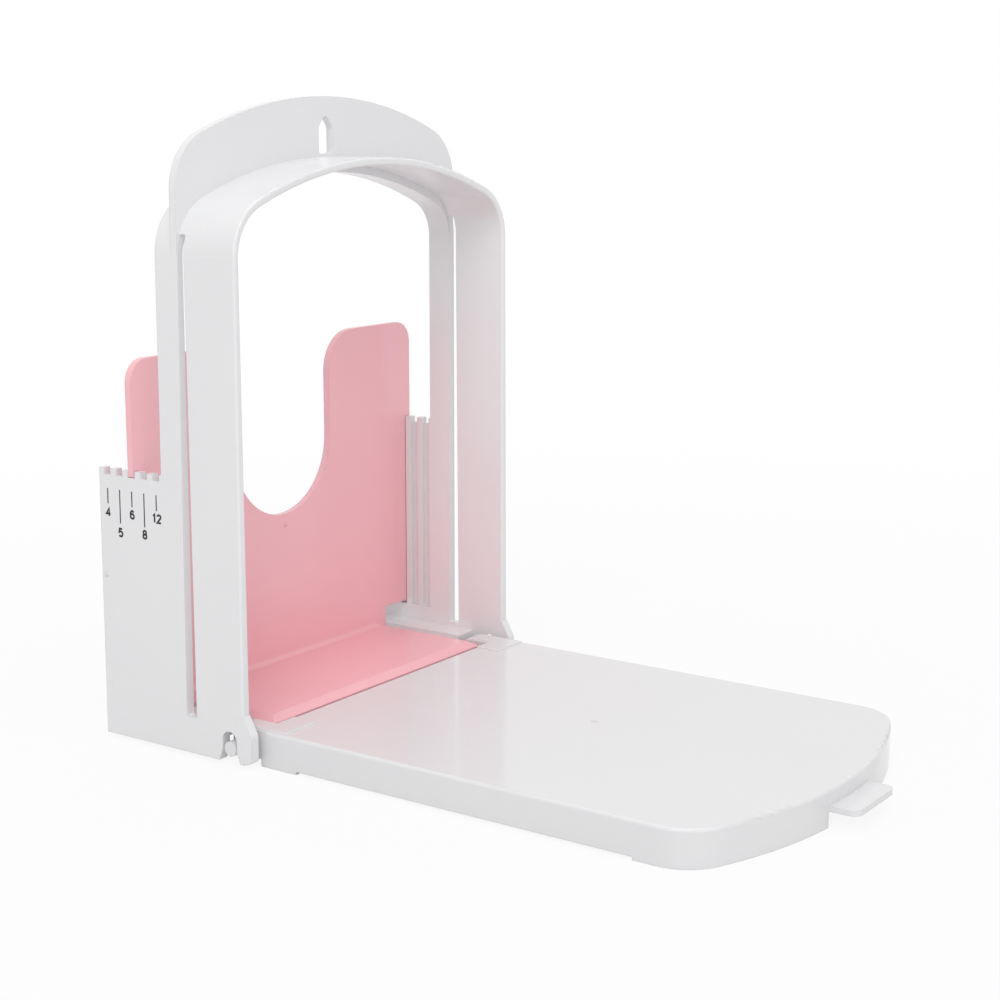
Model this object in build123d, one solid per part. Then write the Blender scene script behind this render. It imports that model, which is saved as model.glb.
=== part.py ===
from build123d import *
from math import sqrt
import os

# Bread slicer guide: an upright loaf-shaped frame with knife slots and thickness
# grooves, a drop-in stopper, and a board that folds up into the frame.
# All sizes are in millimetres. X is across, Y runs from front to rear and Z is up.
# Depths named below are measured from the front edge of the frame, and heights from
# the lower edges of its side walls, which the foot strips hold above the table.

# ---- upright frame -------------------------------------------------------------
base_half_width = 67.5        # outer half width where the walls stand
wall_draft = 0.0076           # how much each wall leans inwards per millimetre
wall_thickness = 3.2          # at the lower edge; the inner faces are upright
table_gap = 1.4               # lower edges of the walls above the table
rear_band_depth = 30.3        # front edge to the rear edge of the arch
crest_thickness = 2.4
arch_top = 173.2              # outer top of the arch
arch_shell = 2.3              # thickness of the arch at its top
rear_arch_step = 2.4          # the rear band hangs this much lower inside
crest_rise = 18.1             # crest top above the arch top
arch_radius = 150.0           # shallow curve along the top
arch_corner = 17.5            # rounded shoulders of the loaf outline
edge_round = 0.7              # softened edges of the front opening

# ---- wings with the thickness grooves ------------------------------------------
wing_height = 82.5
groove_count = 5
groove_pitch = 5.0            # each groove moves the slice by half a centimetre
first_groove_gap = 2.2        # centre of the first groove behind the arch
last_groove_gap = 3.3         # rear edge of the wings behind the last groove
groove_width = 2.8
groove_sink = 1.3
groove_foot_gap = 5.5         # closed lower end of every groove above the rails
notch_width = 2.7
notch_sink = 2.0

# ---- knife slots -----------------------------------------------------------------
slot_depth = 20.3             # middle of both slots
slot_width_low = 4.0
slot_width_high = 2.3
slot_foot_gap = 1.5           # lower end above the rails
slot_head_drop = 20.6         # upper end below the arch top
slot_end_round = 0.6
crest_step = 1.4              # front face of the crest behind the middle of the slots

# ---- hanging hole in the crest -------------------------------------------------
hole_half_width = 3.3
hole_foot_gap = 0.8           # lower end above the arch top
hole_side_height = 7.7
hole_tip_height = 3.8

# ---- floor of the frame --------------------------------------------------------
floor_front_depth = 12.2
floor_top = 7.2
floor_thickness = 2.2
rail_rise = 2.3               # top of the side rails above the floor
rail_width = 8.5
lip_thickness = 2.0           # foot strips under the front and rear of the floor
lip_side_gap = 8.0            # their ends inside the walls

# ---- hinge -----------------------------------------------------------------------
hinge_depth = 5.5             # pin axis behind the front edge
hinge_height = 3.9
pin_radius = 2.3
pin_inset = 0.3               # outer end of each pin inside the wall's outer face
pin_clearance = 0.45          # room beside the pin in the hinge slot
eye_rise = 2.6                # middle of the slot head above the resting pin
slot_flare_half = 4.1         # mouth of the hinge slot
slot_flare_height = 3.5
finger_reach = 3.0            # lug in front of each hinge slot
finger_top = 14.6
finger_slope = 5.6            # the lug slopes up to the frame's edge over this height
finger_foot = 0.3
finger_foot_round = 2.0
finger_knee_round = 3.0

# ---- base board -----------------------------------------------------------------
board_side_gap = 2.3          # between the board and the inner wall faces
board_top = 9.5
board_skin = 2.0
skirt_thickness = 2.0
board_rear_gap = 1.8          # rear edge of the board in front of the frame edge
board_reach = 160.0           # middle of the bulged front end
board_end_radius = 128.0
board_corner = 15.0
board_edge_round = 1.0
skirt_relief = 0.9            # the skirt clears the table between its ends
relief_front = 32.0           # from the middle of the front end
relief_rear = 15.0
arm_width = 8.0
arm_tail = 3.1                # arm end behind the pin axis
arm_top_round = 1.2
arm_foot_round = 2.6
pad_height = 0.5              # low pads on the rear corners
pad_margin = 0.9              # between a pad and the side of the board
pad_width = 14.1
pad_front = 10.4
pad_round = 0.3
tab_half_width = 12.3
tab_length = 8.0
tab_thickness = 1.6
tab_height = 4.0              # middle of the tab
tab_corner = 3.0

# ---- stopper -----------------------------------------------------------------------
stopper_groove = 2            # counted from the thinnest slice
stopper_thickness = 2.3
groove_play = 0.3             # gap between plate and groove bottom on each side
ear_inset = 0.5               # ears inside the outer faces of the walls
ear_height = 35.0             # top of the ears above their shoulders
ear_outer_corner = 7.0
ear_inner_corner = 13.0
shoulder_gap = 0.1            # shoulders above the notch bottoms
cutout_half_width = 23.2
cutout_drop = 57.2            # lowest point of the cut-out below the ear tops
plate_step_gap = 1.3          # the plate narrows this far above the groove ends
foot_side_gap = 3.4           # foot inside the rails
foot_gap = 0.4                # foot above the floor
foot_thickness = 2.7
foot_front_depth = 1.2
foot_corner = 1.2
foot_bevel_long = 3.0
foot_bevel_high = 1.7
foot_root_round = 1.5

# ---- derived -----------------------------------------------------------------------
inner_half_width = base_half_width - wall_thickness
board_half_width = inner_half_width - board_side_gap
rail_inner_half = inner_half_width - rail_width
foot_half_width = rail_inner_half - foot_side_gap
ear_half_width = base_half_width - ear_inset
pin_end = base_half_width - pin_inset
first_groove_depth = rear_band_depth + first_groove_gap
groove_depths = [first_groove_depth + groove_pitch * i for i in range(groove_count)]
frame_depth = groove_depths[-1] + last_groove_gap
stopper_depth = groove_depths[stopper_groove]
crest_front_depth = slot_depth + crest_step
rail_top = floor_top + rail_rise
floor_under = floor_top - floor_thickness
foot_under = floor_top + foot_gap
groove_foot = rail_top + groove_foot_gap
plate_step_height = groove_foot + plate_step_gap
slot_foot = rail_top + slot_foot_gap
slot_head = arch_top - slot_head_drop
hole_foot = arch_top + hole_foot_gap
notch_foot = wing_height - notch_sink
shoulder_height = notch_foot + shoulder_gap
ear_top = shoulder_height + ear_height
slot_eye_radius = pin_radius + pin_clearance
slot_eye_height = hinge_height + eye_rise
# The origin lies on the table under the middle of the whole object.
shift_y = (board_reach + tab_length - frame_depth) / 2
shift_z = table_gap
hinge_y = hinge_depth + shift_y
hinge_z = hinge_height + shift_z
table = -table_gap            # the table's height in the measure used here
beyond = 5.0                  # how far cutters run past the material


def across(profile, near, far):
    """Extrude a profile drawn in X and Z from one depth to another."""
    plane = Plane(origin=(0, far + shift_y, shift_z), x_dir=(1, 0, 0), z_dir=(0, -1, 0))
    return extrude(plane * profile, amount=far - near)


def sideways(profile, start, end):
    """Extrude a profile drawn in depth and Z along X."""
    plane = Plane(origin=(start, shift_y, shift_z), x_dir=(0, 1, 0), z_dir=(1, 0, 0))
    return extrude(plane * profile, amount=end - start)


def upward(profile, low, high):
    """Extrude a plan drawn in X and depth from one height to another."""
    return extrude(Pos(0, shift_y, low + shift_z) * profile, amount=high - low)


def block(x_low, x_high, near, far, low, high):
    """A box given by its limits."""
    plan = Pos((x_low + x_high) / 2, (near + far) / 2) * Rectangle(x_high - x_low, far - near)
    return upward(plan, low, high)


def both_sides(solid):
    """A solid and its mirror image on the other side of the middle plane."""
    return solid + mirror(solid, about=Plane.YZ)


def at_height(edges, height):
    """The edges that lie at one height."""
    level = height + shift_z
    return edges.filter_by_position(Axis.Z, level - 0.01, level + 0.01)


def half_width_at(height):
    """Outer half width of the frame at a height."""
    return base_half_width - wall_draft * height


def rounded_end(half_width, reach, end_radius, corner_radius, start, start_half_width):
    """A plan with straight sides that ends in a shallow curve with round corners.

    The sides rise from start towards reach, where the curve has its middle.
    """
    centre_v = reach - end_radius
    corner_u = half_width - corner_radius
    corner_v = centre_v + sqrt((end_radius - corner_radius) ** 2 - corner_u ** 2)
    scale = end_radius / (end_radius - corner_radius)
    join = (corner_u * scale, centre_v + (corner_v - centre_v) * scale)
    bend = sqrt(0.5) * corner_radius
    knee = (corner_u + bend, corner_v + bend)
    side = (half_width, corner_v)
    foot = (start_half_width, start)

    def left(point):
        return (-point[0], point[1])

    outline = [
        Line(left(foot), foot),
        Line(foot, side),
        ThreePointArc(side, knee, join),
        ThreePointArc(join, (0, reach), left(join)),
        ThreePointArc(left(join), left(knee), left(side)),
        Line(left(side), left(foot)),
    ]
    return make_face(outline)


def loaf(top, shell=0.0):
    """Loaf outline of the frame, or the same outline moved inwards by a shell."""
    radius = arch_radius - shell
    corner = arch_corner - min(shell, 0.8 * arch_corner)
    if shell > 0:
        return rounded_end(inner_half_width, top, radius, corner, -beyond, inner_half_width)
    shoulder = half_width_at(top - 1.5 * arch_corner)
    return rounded_end(shoulder, top, radius, corner, 0, base_half_width)


def wall_section(height):
    """Cross-section of both side walls up to a height."""
    right = make_face(Polyline(
        (inner_half_width, 0),
        (base_half_width, 0),
        (half_width_at(height), height),
        (inner_half_width, height),
        close=True,
    ))
    return right + mirror(right, about=Plane.YZ)


def knife_slots():
    """Tapered slots that guide the blade through both walls."""
    profile = make_face(Polyline(
        (slot_depth - slot_width_low / 2, slot_foot),
        (slot_depth + slot_width_low / 2, slot_foot),
        (slot_depth + slot_width_high / 2, slot_head),
        (slot_depth - slot_width_high / 2, slot_head),
        close=True,
    ))
    profile = fillet(profile.vertices(), slot_end_round)
    return both_sides(sideways(profile, inner_half_width - beyond, base_half_width + beyond))


def grooves():
    """Upright grooves in the inner faces, with an open notch above each one."""
    cutters = None
    reach = groove_sink + beyond
    for depth in groove_depths:
        groove = block(
            inner_half_width - beyond, inner_half_width + groove_sink,
            depth - groove_width / 2, depth + groove_width / 2,
            groove_foot, wing_height + beyond,
        )
        notch = block(
            inner_half_width - beyond, base_half_width + reach,
            depth - notch_width / 2, depth + notch_width / 2,
            notch_foot, wing_height + beyond,
        )
        pair = both_sides(groove + notch)
        cutters = pair if cutters is None else cutters + pair
    return cutters


def hinge_slots():
    """Slots with a round head and a flared mouth, open to the table."""
    eye = Pos(hinge_depth, slot_eye_height) * Circle(slot_eye_radius)
    neck_height = slot_eye_height - slot_flare_height
    neck = Pos(hinge_depth, slot_flare_height + neck_height / 2)
    neck = neck * Rectangle(2 * slot_eye_radius, neck_height)
    slope = (slot_flare_half - slot_eye_radius) / slot_flare_height
    lip = slot_flare_half + slope * beyond
    mouth = make_face(Polyline(
        (hinge_depth - slot_eye_radius, slot_flare_height),
        (hinge_depth + slot_eye_radius, slot_flare_height),
        (hinge_depth + lip, -beyond),
        (hinge_depth - lip, -beyond),
        close=True,
    ))
    profile = eye + neck + mouth
    return both_sides(sideways(profile, inner_half_width - beyond, base_half_width + beyond))


def fingers():
    """Rounded lugs in front of the hinge slots."""
    finger_root = hinge_depth - slot_eye_radius
    profile = make_face(Polyline(
        (finger_root, finger_foot),
        (-finger_reach, finger_foot),
        (-finger_reach, finger_top - finger_slope),
        (0, finger_top),
        (finger_root, finger_top),
        close=True,
    ))
    front = profile.vertices().sort_by(Axis.X)[0:2]
    profile = fillet(front.sort_by(Axis.Y)[-1:], finger_knee_round)
    foot = profile.vertices().sort_by(Axis.Y)[0:2]
    profile = fillet(foot.sort_by(Axis.X)[0:1], finger_foot_round)
    outer = half_width_at(finger_top / 2)
    return both_sides(sideways(profile, inner_half_width, outer))


def hanging_hole():
    """Hole with straight sides and a pointed top."""
    bulge = hole_half_width * 0.62
    hole_side_top = hole_foot + hole_side_height
    hole_tip = hole_side_top + hole_tip_height
    shoulder = hole_side_top + hole_tip_height * 0.55
    profile = make_face([
        Line((-hole_half_width, hole_foot), (hole_half_width, hole_foot)),
        Line((hole_half_width, hole_foot), (hole_half_width, hole_side_top)),
        ThreePointArc((hole_half_width, hole_side_top), (bulge, shoulder), (0, hole_tip)),
        ThreePointArc((0, hole_tip), (-bulge, shoulder), (-hole_half_width, hole_side_top)),
        Line((-hole_half_width, hole_side_top), (-hole_half_width, hole_foot)),
    ])
    profile = fillet(profile.vertices().sort_by(Axis.Y)[0:2], 1.0)
    return across(profile, crest_front_depth - beyond, rear_band_depth + beyond)


def frame_floor():
    """Floor between the walls with a raised rail along each wall."""
    wide = inner_half_width + 0.5
    floor = block(-wide, wide, floor_front_depth, frame_depth, floor_under, floor_top)
    rails = both_sides(block(
        rail_inner_half, wide, floor_front_depth, frame_depth, floor_under, rail_top,
    ))
    hollow = both_sides(block(
        rail_inner_half + floor_thickness, inner_half_width - 1.0,
        floor_front_depth + lip_thickness, frame_depth - lip_thickness,
        floor_under - beyond, rail_top - floor_thickness,
    ))
    lip_end = inner_half_width - lip_side_gap
    front_lip = block(
        -lip_end, lip_end, floor_front_depth, floor_front_depth + lip_thickness,
        table, floor_under + 0.5,
    )
    rear_lip = block(
        -lip_end, lip_end, frame_depth - lip_thickness, frame_depth,
        table, floor_under + 0.5,
    )
    return floor + rails - hollow + front_lip + rear_lip


def make_frame():
    """The whole upright frame, one moulding."""
    opening = loaf(arch_top - arch_shell, arch_shell)
    rear_opening = loaf(
        arch_top - arch_shell - rear_arch_step, arch_shell + rear_arch_step,
    )
    front_band = across(loaf(arch_top) - opening, 0, crest_front_depth)
    front_edges = front_band.edges().filter_by_position(
        Axis.Y, shift_y - 0.01, shift_y + 0.01,
    )
    high_edges = front_edges.filter_by_position(
        Axis.Z, finger_top + shift_z + 10, arch_top + shift_z + 1,
    )
    front_band = fillet(high_edges, edge_round)
    rear_band = across(loaf(arch_top) - rear_opening, crest_front_depth, rear_band_depth)
    crest = across(
        loaf(arch_top + crest_rise) - rear_opening,
        crest_front_depth, crest_front_depth + crest_thickness,
    )
    wings = across(wall_section(wing_height), rear_band_depth, frame_depth)
    body = front_band + rear_band + crest + wings + fingers() + frame_floor()
    return body - knife_slots() - grooves() - hinge_slots() - hanging_hole()


def make_stopper():
    """Upright plate with a finger cut-out and a foot that slides under the loaf."""
    groove_half = inner_half_width + groove_sink - groove_play
    cutout_centre = ear_top - cutout_drop + cutout_half_width
    outline = make_face(Polyline(
        (0, foot_under),
        (foot_half_width, foot_under),
        (foot_half_width, plate_step_height),
        (groove_half, plate_step_height),
        (groove_half, shoulder_height),
        (ear_half_width, shoulder_height),
        (ear_half_width, ear_top),
        (0, ear_top),
        close=True,
    ))
    outline = fillet(
        outline.vertices().filter_by_position(Axis.X, ear_half_width - 0.1, ear_half_width + 0.1)
        .sort_by(Axis.Y)[-1:],
        ear_outer_corner,
    )
    outline = outline + mirror(outline, about=Plane.YZ)
    cutout = Pos(0, cutout_centre) * Circle(cutout_half_width)
    channel_height = ear_top + beyond - cutout_centre
    cutout += Pos(0, cutout_centre + channel_height / 2) * Rectangle(
        2 * cutout_half_width, channel_height,
    )
    outline = outline - cutout
    brim = outline.vertices().filter_by_position(Axis.Y, ear_top - 0.1, ear_top + 0.1)
    brim = brim.filter_by_position(Axis.X, -cutout_half_width - 0.1, cutout_half_width + 0.1)
    outline = fillet(brim, ear_inner_corner)
    front = stopper_depth - stopper_thickness / 2
    plate = across(outline, front, front + stopper_thickness)

    plan_depth = front + stopper_thickness - foot_front_depth
    plan = Pos(0, foot_front_depth + plan_depth / 2)
    plan = plan * Rectangle(2 * foot_half_width, plan_depth)
    plan = fillet(plan.vertices().sort_by(Axis.Y)[0:2], foot_corner)
    foot_top = foot_under + foot_thickness
    foot = upward(plan, foot_under, foot_top)
    foot -= foot_bevels(foot_top, front)
    stopper = plate + foot
    root = at_height(stopper.edges().filter_by(Axis.X), foot_top)
    root = root.filter_by_position(Axis.Y, front + shift_y - 0.01, front + shift_y + 0.01)
    return fillet(root, foot_root_round)


def foot_bevels(foot_top, rear):
    """Wedges that slope the nose of the foot and its sides."""
    def wedge(edge):
        return make_face(Polyline(
            (edge + foot_bevel_long, foot_top),
            (edge - foot_bevel_long, foot_top - 2 * foot_bevel_high),
            (edge - foot_bevel_long, foot_top + beyond),
            (edge + foot_bevel_long, foot_top + beyond),
            close=True,
        ))

    nose = sideways(wedge(foot_front_depth), -foot_half_width - beyond, foot_half_width + beyond)
    side = across(wedge(-foot_half_width), foot_front_depth - beyond, rear)
    return nose + both_sides(side)


def make_board():
    """Shallow upturned tray with a pull tab and a hinge arm at each rear corner."""
    def plan(inset):
        return mirror(
            rounded_end(
                board_half_width - inset, board_reach - inset,
                board_end_radius - inset, board_corner - inset,
                board_rear_gap + inset, board_half_width - inset,
            ),
            about=Plane.XZ,
        )

    shell = upward(plan(0), table, board_top)
    rim = at_height(shell.edges(), board_top).sort_by(Axis.Y)[:-1]
    shell = fillet(rim, board_edge_round)
    shell -= upward(plan(skirt_thickness), table - beyond, board_top - board_skin)
    shell -= block(
        -base_half_width, base_half_width, relief_front - board_reach, -relief_rear,
        table - beyond, table + skirt_relief,
    )

    tab_mid = -(board_reach + (tab_length - skirt_thickness) / 2)
    tab_plan = Pos(0, tab_mid) * Rectangle(2 * tab_half_width, tab_length + skirt_thickness)
    tab_plan = fillet(tab_plan.vertices().sort_by(Axis.Y)[0:2], tab_corner)
    tab_low = tab_height - tab_thickness / 2
    shell -= block(
        -tab_half_width, tab_half_width,
        -board_reach - beyond, -board_reach + skirt_thickness + 1.0, table - beyond, tab_low,
    )
    shell += upward(tab_plan, tab_low, tab_low + tab_thickness)

    arm_start = -board_rear_gap - skirt_thickness
    arm_foot = hinge_height - arm_tail
    arm_end = hinge_depth + arm_tail
    arm = make_face(Polyline(
        (arm_start, arm_foot),
        (arm_start, board_top),
        (arm_end, board_top),
        (arm_end, arm_foot),
        close=True,
    ))
    rear = arm.vertices().sort_by(Axis.X)[-2:]
    arm = fillet(rear.sort_by(Axis.Y)[-1:], arm_top_round)
    foot = arm.vertices().sort_by(Axis.Y)[0:2]
    arm = fillet(foot.sort_by(Axis.X)[-1:], arm_foot_round)
    arm = sideways(arm, board_half_width - arm_width, board_half_width)

    pad_outer = board_half_width - pad_margin
    pad_low = board_top - board_edge_round
    pad_top = board_top + pad_height
    pad = block(
        pad_outer - pad_width, pad_outer, -pad_front, -board_rear_gap, pad_low, pad_top,
    )
    pad += block(
        board_half_width - arm_width + pad_margin, pad_outer, -pad_front, hinge_depth,
        pad_low, pad_top,
    )
    pad = fillet(at_height(pad.edges(), pad_top), pad_round)
    pad = arm + pad
    pin = Plane(origin=(board_half_width - 1.0, hinge_y, hinge_z), z_dir=(1, 0, 0))
    pins = both_sides(extrude(plane_circle(pin), amount=pin_end - board_half_width + 1.0))
    return shell + both_sides(pad) + pins


def plane_circle(plane):
    """Round section of a hinge pin on a plane."""
    return plane * Circle(pin_radius)


nodes = {
    "upright_frame": make_frame,
    "slice_stopper": make_stopper,
    "base_board": make_board,
}

os.makedirs("parts", exist_ok=True)
for name, make in nodes.items():
    solid = make()
    export_step(solid, f"parts/{name}.step")
    box = solid.bounding_box()
    print(name, len(solid.solids()), round(solid.volume), box.min, box.max)
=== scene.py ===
"""Looks of the bread slicer guide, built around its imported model. All lengths are in metres."""

import math

import bmesh
import bpy
from mathutils import Matrix, Vector


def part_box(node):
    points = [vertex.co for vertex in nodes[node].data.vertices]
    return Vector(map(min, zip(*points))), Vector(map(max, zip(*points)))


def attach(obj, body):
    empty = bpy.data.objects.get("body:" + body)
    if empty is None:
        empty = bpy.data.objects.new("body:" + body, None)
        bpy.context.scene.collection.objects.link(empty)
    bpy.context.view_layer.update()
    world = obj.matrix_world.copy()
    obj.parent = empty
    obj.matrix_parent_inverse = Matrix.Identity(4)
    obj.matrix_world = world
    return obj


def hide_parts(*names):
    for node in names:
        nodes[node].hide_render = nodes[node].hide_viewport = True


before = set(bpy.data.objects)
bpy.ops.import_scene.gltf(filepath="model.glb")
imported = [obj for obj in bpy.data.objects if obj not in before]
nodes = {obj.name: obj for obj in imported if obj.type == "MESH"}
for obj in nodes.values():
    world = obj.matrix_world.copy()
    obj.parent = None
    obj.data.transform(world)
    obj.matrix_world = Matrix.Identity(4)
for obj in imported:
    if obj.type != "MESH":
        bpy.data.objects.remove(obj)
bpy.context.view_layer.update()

MM = 0.001

# ---- places on the object, in millimetres ------------------------------------------
FRAME_DEPTH = 55.8
FRAME_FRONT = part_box("upright_frame")[1].y / MM - FRAME_DEPTH
TABLE_GAP = 1.4               # lower edges of the side walls above the table
BASE_HALF_WIDTH = 67.5        # outer face of the side walls at their lower edges
WALL_DRAFT = 0.0076           # lean of the walls per millimetre of height
GROOVE_PITCH = 5.0
FIRST_GROOVE_DEPTH = 32.5     # thinnest slice, behind the front edge
SLICE_COUNTS = ("12", "8", "6", "5", "4")


# ---- materials ------------------------------------------------------------------------
def srgb(code):
    """Linear colour of an sRGB hex value."""
    channels = [int(code[i:i + 2], 16) / 255 for i in (1, 3, 5)]
    linear = [c / 12.92 if c <= 0.04045 else ((c + 0.055) / 1.055) ** 2.4 for c in channels]
    return (*linear, 1.0)


def add_node(tree, kind, settings=None, links=None):
    """Add a node with its settings, and link outputs of other nodes to its inputs."""
    node = tree.nodes.new(kind)
    for name, value in (settings or {}).items():
        if hasattr(node, str(name)):
            setattr(node, name, value)
        else:
            node.inputs[name].default_value = value
    for name, source in (links or {}).items():
        tree.links.new(source, node.inputs[name])
    return node


def new_material(name):
    """An empty node material and its tree."""
    material = bpy.data.materials.new(name)
    material.use_nodes = True
    material.node_tree.nodes.clear()
    return material, material.node_tree


SINK_LENGTH = 0.045           # slow waves where the plastic drew in
DULL_LENGTH = 0.012           # patches where the gloss is a little duller
DULL_GAIN = 0.06              # roughness that the dullest of them gain
GRAIN_LENGTH = 0.0009         # fine texture of the mould
EDGE_SOFTENING = 0.35 * MM    # rounding that the shading gives to a sharp edge
PLASTIC_IOR = 1.53


def moulded_plastic(name, colour, deeper, roughness):
    """Injection-moulded gloss plastic.

    A polished mould leaves a mirror-like skin with slow sinks a few centimetres long,
    which bend reflections, and a fine texture that only softens the highlights. Sharp
    edges are shaded as if slightly rounded, and the mesh itself keeps them sharp.
    """
    material, tree = new_material(name)
    place = add_node(tree, "ShaderNodeTexCoord")
    cloud = add_node(tree, "ShaderNodeTexNoise",
                     {"Scale": 1 / SINK_LENGTH, "Detail": 2.0, "Roughness": 0.4},
                     {"Vector": place.outputs["Object"]})
    tint = add_node(tree, "ShaderNodeMix",
                    {"data_type": "RGBA", 6: srgb(colour), 7: srgb(deeper)},
                    {0: cloud.outputs["Fac"]})
    wear = add_node(tree, "ShaderNodeTexNoise",
                    {"Scale": 1 / DULL_LENGTH, "Detail": 5.0, "Roughness": 0.6},
                    {"Vector": place.outputs["Object"]})
    gloss = add_node(tree, "ShaderNodeMapRange",
                     {1: 0.35, 2: 0.75, 3: roughness, 4: roughness + DULL_GAIN},
                     {0: wear.outputs["Fac"]})
    grain = add_node(tree, "ShaderNodeTexNoise",
                     {"Scale": 1 / GRAIN_LENGTH, "Detail": 2.0},
                     {"Vector": place.outputs["Object"]})
    edges = add_node(tree, "ShaderNodeBevel", {"samples": 6, "Radius": EDGE_SOFTENING})
    sinks = add_node(tree, "ShaderNodeBump",
                     {"Strength": 0.12, "Distance": 0.0006},
                     {"Height": cloud.outputs["Fac"], "Normal": edges.outputs["Normal"]})
    skin = add_node(tree, "ShaderNodeBump",
                    {"Strength": 0.06, "Distance": 0.00005},
                    {"Height": grain.outputs["Fac"], "Normal": sinks.outputs["Normal"]})
    shader = add_node(tree, "ShaderNodeBsdfPrincipled",
                      {"IOR": PLASTIC_IOR},
                      {"Base Color": tint.outputs[2], "Roughness": gloss.outputs[0],
                       "Normal": skin.outputs["Normal"]})
    add_node(tree, "ShaderNodeOutputMaterial", None, {"Surface": shader.outputs[0]})
    return material


def pad_printed_ink(name, colour):
    """Pad-printed ink: a thin, nearly matt film with slightly uneven cover."""
    material, tree = new_material(name)
    place = add_node(tree, "ShaderNodeTexCoord")
    cover = add_node(tree, "ShaderNodeTexNoise",
                     {"Scale": 1 / 0.0006, "Detail": 3.0},
                     {"Vector": place.outputs["Object"]})
    tint = add_node(tree, "ShaderNodeMix",
                    {"data_type": "RGBA", 6: srgb(colour), 7: srgb("#262628")},
                    {0: cover.outputs["Fac"]})
    shader = add_node(tree, "ShaderNodeBsdfPrincipled",
                      {"Roughness": 0.42, "IOR": 1.5},
                      {"Base Color": tint.outputs[2]})
    add_node(tree, "ShaderNodeOutputMaterial", None, {"Surface": shader.outputs[0]})
    return material


wall_plastic = moulded_plastic("moulded_white_abs_wall", "#EBEBEC", "#E7E7E9", 0.20)
board_plastic = moulded_plastic("moulded_white_abs_board", "#E5E5E6", "#E2E2E4", 0.10)
pink_plastic = moulded_plastic("moulded_pink_abs", "#FBBFC6", "#F9BBC3", 0.16)
ink = pad_printed_ink("pad_printed_black_ink", "#19191B")


# ---- the three mouldings ----------------------------------------------------------------
CREASE = math.radians(24)     # the moulded surface breaks where it turns this much
CORNER = math.radians(50)     # where it turns outwards this much, the edge is rounded
LEVEL = math.cos(math.radians(0.4))     # faces closer than this in direction are one flat
MERGE_WITHIN = 2e-6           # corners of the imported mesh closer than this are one
STOPPER_EDGE_ROUND = 0.3 * MM


def corner_turn(edge, layer):
    """How far the moulded surface turns across an edge, from the normals of its two sides."""
    turn = 0.0
    for vertex in edge.verts:
        sides = [loop[layer].normalized() for face in edge.link_faces for loop in face.loops
                 if loop.vert == vertex]
        if len(sides) == 2:
            turn = max(turn, sides[0].angle(sides[1], 0.0))
    return turn


def grown_flat(seed, left):
    """The faces around a seed that lie in its plane and make one outline without holes."""
    group = {seed}
    corners = set(seed.verts)
    waiting = [seed]
    while waiting:
        face = waiting.pop(0)
        for side in face.edges:
            for other in side.link_faces:
                if other in group or other not in left or other.normal.dot(seed.normal) < LEVEL:
                    continue
                shared = sum(any(f in group for f in e.link_faces) for e in other.edges)
                fresh = sum(v not in corners for v in other.verts)
                if (shared, fresh) == (1, 1):
                    group.add(other)
                    corners.update(other.verts)
                    waiting.append(other)
    return group


def join_flats(work):
    """Turn the triangles of every flat area into a few clean polygons."""
    work.faces.ensure_lookup_table()
    left = set(work.faces)
    groups = []
    for face in sorted(work.faces, key=lambda face: (-face.calc_area(), face.index)):
        if face in left:
            group = grown_flat(face, left)
            left -= group
            groups.append(sorted(group, key=lambda face: face.index))
    for group in groups:
        if len(group) > 1:
            bmesh.ops.dissolve_faces(work, faces=group, use_verts=False)


def mark_corners(work, layer):
    """Weigh the edges that are to be rounded, and mark the ones that only break the shading."""
    weights = work.edges.layers.float.new("bevel_weight_edge")
    for seam in work.edges:
        turn = corner_turn(seam, layer) if len(seam.link_faces) == 2 else 0.0
        rounded = turn > CORNER and seam.calc_face_angle_signed(0.0) > 0
        seam[weights] = 1.0 if rounded else 0.0
        seam.smooth = rounded or turn < CREASE


def finish_node(node_name, piece_name, body, material, edge_round=0.0):
    """A merged copy of a node's mesh, standing for that node.

    With a rounding, its outer corners become small rounds in the mesh itself. Without
    one, the mesh keeps the model's own surface and normals.
    """
    source = nodes[node_name].data
    normals = [corner.vector[:] for corner in source.corner_normals]
    work = bmesh.new()
    work.from_mesh(source)
    layer = work.loops.layers.float_vector.new("moulded_normal")
    for face, polygon in zip(work.faces, source.polygons):
        for loop, k in zip(face.loops, polygon.loop_indices):
            loop[layer] = normals[k]
    bmesh.ops.remove_doubles(work, verts=work.verts, dist=MERGE_WITHIN)
    if edge_round:
        mark_corners(work, layer)
        join_flats(work)
    for face in work.faces:
        face.smooth = True
    mesh = bpy.data.meshes.new(piece_name)
    work.to_mesh(mesh)
    work.free()
    moulded = mesh.attributes["moulded_normal"]
    kept = [corner.vector[:] for corner in moulded.data]
    mesh.attributes.remove(moulded)
    piece = bpy.data.objects.new(piece_name, mesh)
    bpy.context.scene.collection.objects.link(piece)
    mesh.materials.append(material)
    if edge_round:
        bevel = piece.modifiers.new("rounded_edges", "BEVEL")
        bevel.width = edge_round
        bevel.segments = 2
        bevel.limit_method = "WEIGHT"
        bevel.offset_type = "ABSOLUTE"
        bevel.use_clamp_overlap = False
        even = piece.modifiers.new("flat_faces", "WEIGHTED_NORMAL")
        even.keep_sharp = True
    else:
        mesh.normals_split_custom_set(kept)
    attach(piece, body)
    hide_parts(node_name)


finish_node("upright_frame", "frame_moulding", "frame", wall_plastic)
finish_node("base_board", "board_moulding", "board", board_plastic)
finish_node("slice_stopper", "stopper_moulding", "stopper", pink_plastic,
            STOPPER_EDGE_ROUND)


# ---- printed scale on the left wall -------------------------------------------------------
INK_LIFT = 0.02               # the film stands this far off the plastic
INK_FILM = 0.02


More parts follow.
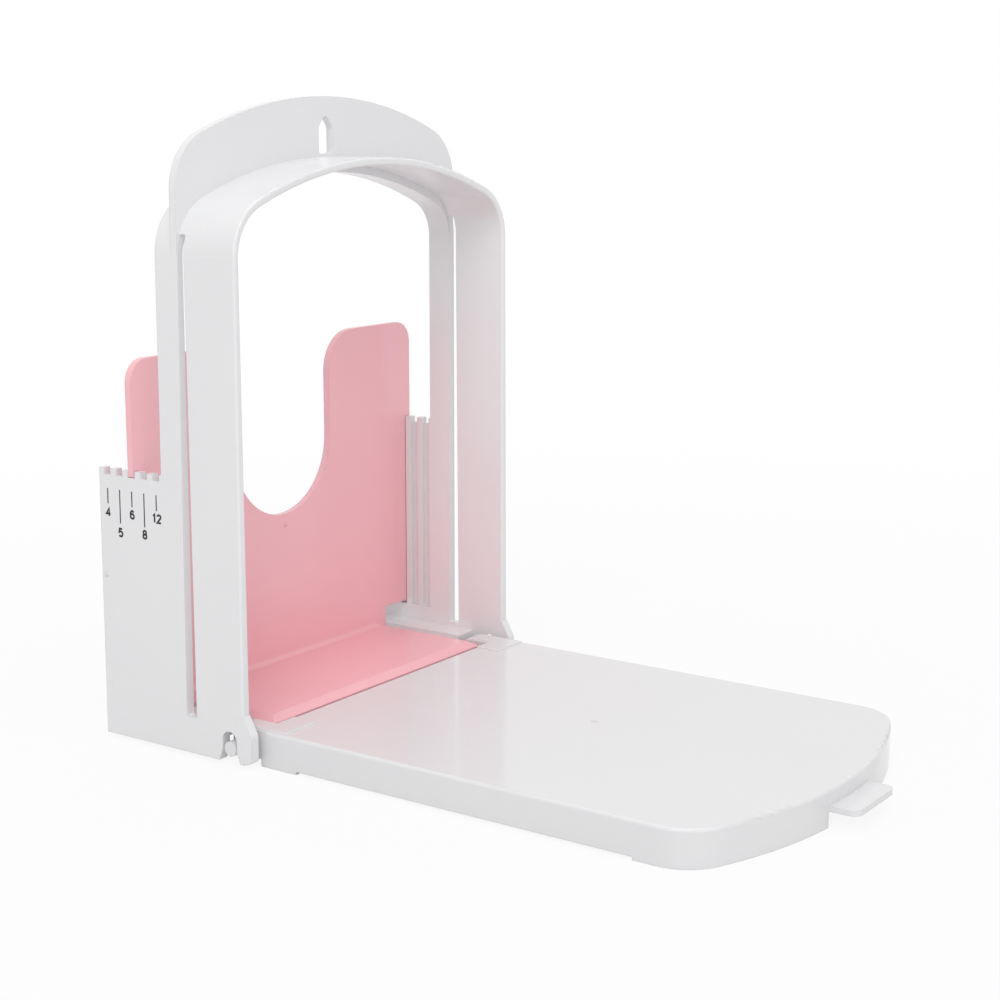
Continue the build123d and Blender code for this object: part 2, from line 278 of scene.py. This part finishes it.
def wall_place():
    """Turns a drawing, with X along the print and Y up, to lie on the left wall."""
    along = Vector((0, -1, 0))
    out = Vector((-1, 0, WALL_DRAFT)).normalized()
    up = out.cross(along)
    place = Matrix((along, up, out)).transposed().to_4x4()
    place.translation = Vector((-BASE_HALF_WIDTH, FRAME_FRONT, TABLE_GAP)) * MM
    return place


def ink_piece(name, mesh):
    """A printed piece on the left wall, drawn in millimetres."""
    mesh.transform(wall_place() @ Matrix.Scale(MM, 4))
    mesh.materials.clear()
    mesh.materials.append(ink)
    piece = bpy.data.objects.new(name, mesh)
    bpy.context.scene.collection.objects.link(piece)
    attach(piece, "frame")


def tick_tree():
    """Geometry Nodes tree: a row of upright ticks, every second one longer."""
    tree = bpy.data.node_groups.new("scale_ticks", "GeometryNodeTree")
    for name, kind in (("Count", "NodeSocketInt"), ("Pitch", "NodeSocketFloat"),
                       ("Width", "NodeSocketFloat"), ("Film", "NodeSocketFloat"),
                       ("Short", "NodeSocketFloat"), ("Long", "NodeSocketFloat"),
                       ("Ink", "NodeSocketMaterial")):
        tree.interface.new_socket(name, in_out="INPUT", socket_type=kind)
    tree.interface.new_socket("Geometry", in_out="OUTPUT", socket_type="NodeSocketGeometry")
    given = add_node(tree, "NodeGroupInput")
    step = add_node(tree, "ShaderNodeCombineXYZ", None, {"X": given.outputs["Pitch"]})
    row = add_node(tree, "GeometryNodeMeshLine", None,
                   {"Count": given.outputs["Count"], "Offset": step.outputs[0]})
    index = add_node(tree, "GeometryNodeInputIndex")
    odd = add_node(tree, "ShaderNodeMath", {"operation": "MODULO", 1: 2.0},
                   {0: index.outputs[0]})
    length = add_node(tree, "ShaderNodeMapRange", None,
                      {"Value": odd.outputs[0], "To Min": given.outputs["Short"],
                       "To Max": given.outputs["Long"]})
    drop = add_node(tree, "ShaderNodeMath", {"operation": "MULTIPLY", 1: -0.5},
                    {0: length.outputs[0]})
    lowered = add_node(tree, "ShaderNodeCombineXYZ", None, {"Y": drop.outputs[0]})
    hung = add_node(tree, "GeometryNodeSetPosition", None,
                    {"Geometry": row.outputs[0], "Offset": lowered.outputs[0]})
    section = add_node(tree, "ShaderNodeCombineXYZ", {"Y": 1.0},
                       {"X": given.outputs["Width"], "Z": given.outputs["Film"]})
    bar = add_node(tree, "GeometryNodeMeshCube", None, {"Size": section.outputs[0]})
    stretch = add_node(tree, "ShaderNodeCombineXYZ", {"X": 1.0, "Z": 1.0},
                       {"Y": length.outputs[0]})
    placed = add_node(tree, "GeometryNodeInstanceOnPoints", None,
                      {"Points": hung.outputs[0], "Instance": bar.outputs[0],
                       "Scale": stretch.outputs[0]})
    real = add_node(tree, "GeometryNodeRealizeInstances", None,
                    {"Geometry": placed.outputs[0]})
    inked = add_node(tree, "GeometryNodeSetMaterial", None,
                     {"Geometry": real.outputs[0], "Material": given.outputs["Ink"]})
    add_node(tree, "NodeGroupOutput", None, {"Geometry": inked.outputs[0]})
    return tree


def baked(tree, **inputs):
    """The plain mesh that a Geometry Nodes tree gives with these inputs."""
    carrier = bpy.data.objects.new("carrier", bpy.data.meshes.new("carrier"))
    bpy.context.scene.collection.objects.link(carrier)
    modifier = carrier.modifiers.new("maker", "NODES")
    modifier.node_group = tree
    for socket in tree.interface.items_tree:
        if socket.in_out == "INPUT" and socket.name in inputs:
            modifier[socket.identifier] = inputs[socket.name]
    graph = bpy.context.evaluated_depsgraph_get()
    mesh = bpy.data.meshes.new_from_object(carrier.evaluated_get(graph))
    bpy.data.objects.remove(carrier)
    return mesh


TICK_TOP = 76.4
TICK_WIDTH = 0.42
SHORT_TICK = 4.7
LONG_TICK = 10.2
ticks = baked(tick_tree(), Count=len(SLICE_COUNTS), Pitch=-GROOVE_PITCH, Width=TICK_WIDTH,
              Film=INK_FILM, Short=SHORT_TICK, Long=LONG_TICK, Ink=ink)
ticks.transform(Matrix.Translation((-FIRST_GROOVE_DEPTH, TICK_TOP, INK_LIFT)))
ink_piece("scale_ticks", ticks)

NUMERAL_MIDDLES = (69.4, 64.0, 69.4, 63.4, 69.1)     # up the wall, one for each slice count
NUMERAL_STROKE = 0.62         # width of the bold strokes
DIGIT_STEP = 1.9              # from one digit of a numeral to the next
MITRE_LIMIT = 0.45            # keeps the outer point of a sharp corner short


def arc(middle, across, upright, start, end, steps=18):
    """Points along part of an ellipse, with its angles in degrees."""
    turns = [math.radians(start + (end - start) * k / steps) for k in range(steps + 1)]
    return [(middle[0] + across * math.cos(a), middle[1] + upright * math.sin(a))
            for a in turns]


# Middle lines of the strokes, around a digit's middle. A round digit comes out 2.9 mm high.
STROKES = {
    "1": [[(-0.5, 0.72), (0.12, 1.16), (0.12, -1.16)]],
    "2": [arc((0.0, 0.56), 0.7, 0.6, 165, -30) + [(-0.72, -1.16), (0.76, -1.16)]],
    "4": [[(0.36, -1.16), (0.36, 1.16), (-0.78, -0.48), (0.86, -0.48)]],
    "5": [[(0.62, 1.16), (-0.5, 1.16), (-0.64, 0.14)] + arc((0.0, -0.4), 0.72, 0.76, 120, -150)],
    "6": [arc((0.02, 0.0), 0.72, 1.16, 40, 180), arc((0.02, -0.46), 0.72, 0.7, 0, 360)],
    "8": [arc((0.0, 0.6), 0.6, 0.56, 0, 360), arc((0.0, -0.56), 0.72, 0.6, 0, 360)],
}


def draw_stroke(work, points, low, high):
    """Add a bar of even width along a middle line, mitred at its corners."""
    points = [Vector(point) for point in points]
    half = NUMERAL_STROKE / 2
    sections = []
    for k, point in enumerate(points):
        before = (point - points[max(k - 1, 0)]).normalized()
        after = (points[min(k + 1, len(points) - 1)] - point).normalized()
        along = (before + after).normalized()
        side = Vector((-along.y, along.x))
        reference = after if after.length > 0 else before
        flank = Vector((-reference.y, reference.x))
        reach = half / max(side.dot(flank), MITRE_LIMIT)
        sections.append([work.verts.new((*(point + side * reach * s), z))
                         for s, z in ((1, low), (-1, low), (-1, high), (1, high))])
    for near, far in zip(sections, sections[1:]):
        for k in range(4):
            j = (k + 1) % 4
            work.faces.new((near[k], near[j], far[j], far[k]))
    work.faces.new(list(reversed(sections[0])))
    work.faces.new(sections[-1])


def numerals_mesh():
    """All the printed numerals, each centred under its tick."""
    work = bmesh.new()
    for i, text in enumerate(SLICE_COUNTS):
        along = -(FIRST_GROOVE_DEPTH + GROOVE_PITCH * i)
        for k, digit in enumerate(text):
            offset = along + DIGIT_STEP * (k - (len(text) - 1) / 2)
            for points in STROKES[digit]:
                placed = [(x + offset, y + NUMERAL_MIDDLES[i]) for x, y in points]
                draw_stroke(work, placed, INK_LIFT, INK_LIFT + INK_FILM)
    bmesh.ops.recalc_face_normals(work, faces=work.faces)
    mesh = bpy.data.meshes.new("scale_numerals")
    work.to_mesh(mesh)
    work.free()
    return mesh


ink_piece("scale_numerals", numerals_mesh())


# ---- moulding marks -----------------------------------------------------------------------
# Radius and height of the mark's outline, from its sunk rim to its tip.
GATE_PROFILE = ((1.0, -0.05), (1.0, 0.03), (0.88, 0.05),
                (0.5, 0.02), (0.4, 0.14), (0.0, 0.16))
GATE_SIDES = 20
GATE_CREASE = math.radians(50)


def gate_mark(name, body, material, at, out):
    """The small round vestige that a moulding gate leaves, with a nub in its middle."""
    turns = [2 * math.pi * k / GATE_SIDES for k in range(GATE_SIDES)]
    work = bmesh.new()
    rings = []
    for radius, height in GATE_PROFILE[:-1]:
        rings.append([work.verts.new((radius * math.cos(a), radius * math.sin(a), height))
                      for a in turns])
    tip = work.verts.new((0, 0, GATE_PROFILE[-1][1]))
    for low, high in zip(rings, rings[1:]):
        for k in range(GATE_SIDES):
            j = (k + 1) % GATE_SIDES
            work.faces.new((low[k], low[j], high[j], high[k]))
    for k in range(GATE_SIDES):
        work.faces.new((rings[-1][k], rings[-1][(k + 1) % GATE_SIDES], tip))
    work.faces.new(list(reversed(rings[0])))
    mesh = bpy.data.meshes.new(name)
    work.to_mesh(mesh)
    work.free()
    turned = Vector((0, 0, 1)).rotation_difference(Vector(out)).to_matrix().to_4x4()
    mesh.transform(Matrix.Translation(Vector(at) * MM) @ turned @ Matrix.Scale(MM, 4))
    mesh.shade_smooth()
    mesh.set_sharp_from_angle(angle=GATE_CREASE)
    mesh.materials.append(material)
    piece = bpy.data.objects.new(name, mesh)
    bpy.context.scene.collection.objects.link(piece)
    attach(piece, body)


# Depths are behind the frame's front edge, and heights above the lower edges of its walls.
BOARD_TOP = 9.5
BOARD_MARK_ACROSS = 1.3
BOARD_MARK_DEPTH = -77.0
WALL_MARK_DEPTH = 54.1
WALL_MARK_HEIGHT = 49.8
STOPPER_FRONT_DEPTH = 41.35
STOPPER_MARK_HEIGHT = 55.0
gate_mark("board_gate_mark", "board", board_plastic,
          (BOARD_MARK_ACROSS, FRAME_FRONT + BOARD_MARK_DEPTH, TABLE_GAP + BOARD_TOP),
          (0, 0, 1))
gate_mark("wall_gate_mark", "frame", wall_plastic,
          (-(BASE_HALF_WIDTH - WALL_DRAFT * WALL_MARK_HEIGHT),
           FRAME_FRONT + WALL_MARK_DEPTH, TABLE_GAP + WALL_MARK_HEIGHT),
          (-1, 0, WALL_DRAFT))
gate_mark("stopper_gate_mark", "stopper", pink_plastic,
          (0.0, FRAME_FRONT + STOPPER_FRONT_DEPTH, TABLE_GAP + STOPPER_MARK_HEIGHT),
          (0, -1, 0))


# ---- floor, light and camera ----------------------------------------------------------------
def seen_directly(tree):
    """1 for rays that show a surface itself: from the camera, a gloss or through glass."""
    path = add_node(tree, "ShaderNodeLightPath")
    either = add_node(tree, "ShaderNodeMath", {"operation": "MAXIMUM"},
                      {0: path.outputs["Is Camera Ray"], 1: path.outputs["Is Glossy Ray"]})
    return add_node(tree, "ShaderNodeMath", {"operation": "MAXIMUM"},
                    {0: either.outputs[0], 1: path.outputs["Is Transmission Ray"]})


def pale_paper(name):
    """Plain pale studio paper, lifted towards white where it is seen directly."""
    material, tree = new_material(name)
    paper = add_node(tree, "ShaderNodeBsdfDiffuse", {"Color": srgb("#E6E6E6")})
    white = add_node(tree, "ShaderNodeEmission", {"Color": (1, 1, 1, 1), "Strength": 1.0})
    place = add_node(tree, "ShaderNodeTexCoord")
    far = add_node(tree, "ShaderNodeVectorMath", {"operation": "LENGTH"},
                   {0: place.outputs["Object"]})
    lift = add_node(tree, "ShaderNodeMapRange", {"To Min": 0.9, "To Max": 1.0,
                                                 "From Min": 0.12, "From Max": 0.6},
                    {"Value": far.outputs["Value"]})
    share = add_node(tree, "ShaderNodeMath", {"operation": "MULTIPLY"},
                     {0: seen_directly(tree).outputs[0], 1: lift.outputs[0]})
    mixed = add_node(tree, "ShaderNodeMixShader", None, {0: share.outputs[0]})
    tree.links.new(paper.outputs[0], mixed.inputs[1])
    tree.links.new(white.outputs[0], mixed.inputs[2])
    add_node(tree, "ShaderNodeOutputMaterial", None, {"Surface": mixed.outputs[0]})
    return material


floor_mesh = bpy.data.meshes.new("floor")
FLOOR_HALF = 6.0
floor_mesh.from_pydata([(-FLOOR_HALF, -FLOOR_HALF, 0), (FLOOR_HALF, -FLOOR_HALF, 0),
                        (FLOOR_HALF, FLOOR_HALF, 0), (-FLOOR_HALF, FLOOR_HALF, 0)],
                       [], [(0, 1, 2, 3)])
floor_mesh.materials.append(pale_paper("pale_studio_paper"))
floor = bpy.data.objects.new("floor", floor_mesh)
bpy.context.scene.collection.objects.link(floor)

SKY_STRENGTH = 0.62           # of the sky as a light; seen directly it is plain white
world = bpy.data.worlds.new("studio")
world.use_nodes = True
world.node_tree.nodes.clear()
bpy.context.scene.world = world
sky = world.node_tree
dim = add_node(sky, "ShaderNodeBackground", {"Color": (1, 1, 1, 1), "Strength": SKY_STRENGTH})
bright = add_node(sky, "ShaderNodeBackground", {"Color": (1, 1, 1, 1), "Strength": 1.0})
sky_mix = add_node(sky, "ShaderNodeMixShader", None, {0: seen_directly(sky).outputs[0]})
sky.links.new(dim.outputs[0], sky_mix.inputs[1])
sky.links.new(bright.outputs[0], sky_mix.inputs[2])
add_node(sky, "ShaderNodeOutputWorld", None, {"Surface": sky_mix.outputs[0]})


def soft_box(name, at, target, size, power):
    """A square soft light at a point, aimed at another."""
    lamp = bpy.data.lights.new(name, "AREA")
    lamp.shape = "SQUARE"
    lamp.size = size
    lamp.energy = power
    box = bpy.data.objects.new(name, lamp)
    box.location = at
    box.rotation_euler = (Vector(target) - Vector(at)).to_track_quat("-Z", "Y").to_euler()
    bpy.context.scene.collection.objects.link(box)


MIDDLE = (0.0, 0.0, 0.08)
soft_box("key_soft_box", (-1.1, -0.5, 1.3), MIDDLE, 1.0, 10.0)
soft_box("top_soft_box", (0.2, 0.2, 1.5), MIDDLE, 1.2, 4.0)
soft_box("front_soft_box", (-0.3, -1.4, 0.45), MIDDLE, 1.2, 2.6)

# The camera stands where the photograph was taken from.
CAMERA_AT = Vector((-0.4646, -0.3093, 0.1878))
AZIMUTH, ELEVATION, ROLL = (math.radians(x) for x in (-55.3, 11.36, 0.0945))
FOCAL_SHARE = 1.927           # focal length over the width of the picture

back = Vector((math.sin(AZIMUTH) * math.cos(ELEVATION),
               -math.cos(AZIMUTH) * math.cos(ELEVATION), math.sin(ELEVATION)))
right = Vector((0, 0, 1)).cross(back).normalized()
up = back.cross(right)
right, up = (right * math.cos(ROLL) + up * math.sin(ROLL),
             up * math.cos(ROLL) - right * math.sin(ROLL))
camera_data = bpy.data.cameras.new("camera")
camera_data.sensor_width = 36.0
camera_data.lens = FOCAL_SHARE * camera_data.sensor_width
camera_data.clip_start = 0.01
turned = Matrix((right, up, back)).transposed().to_4x4()
camera = bpy.data.objects.new("camera", camera_data)
camera.matrix_world = Matrix.Translation(CAMERA_AT) @ turned
bpy.context.scene.collection.objects.link(camera)
bpy.context.scene.camera = camera
bpy.context.scene.view_settings.view_transform = "Standard"
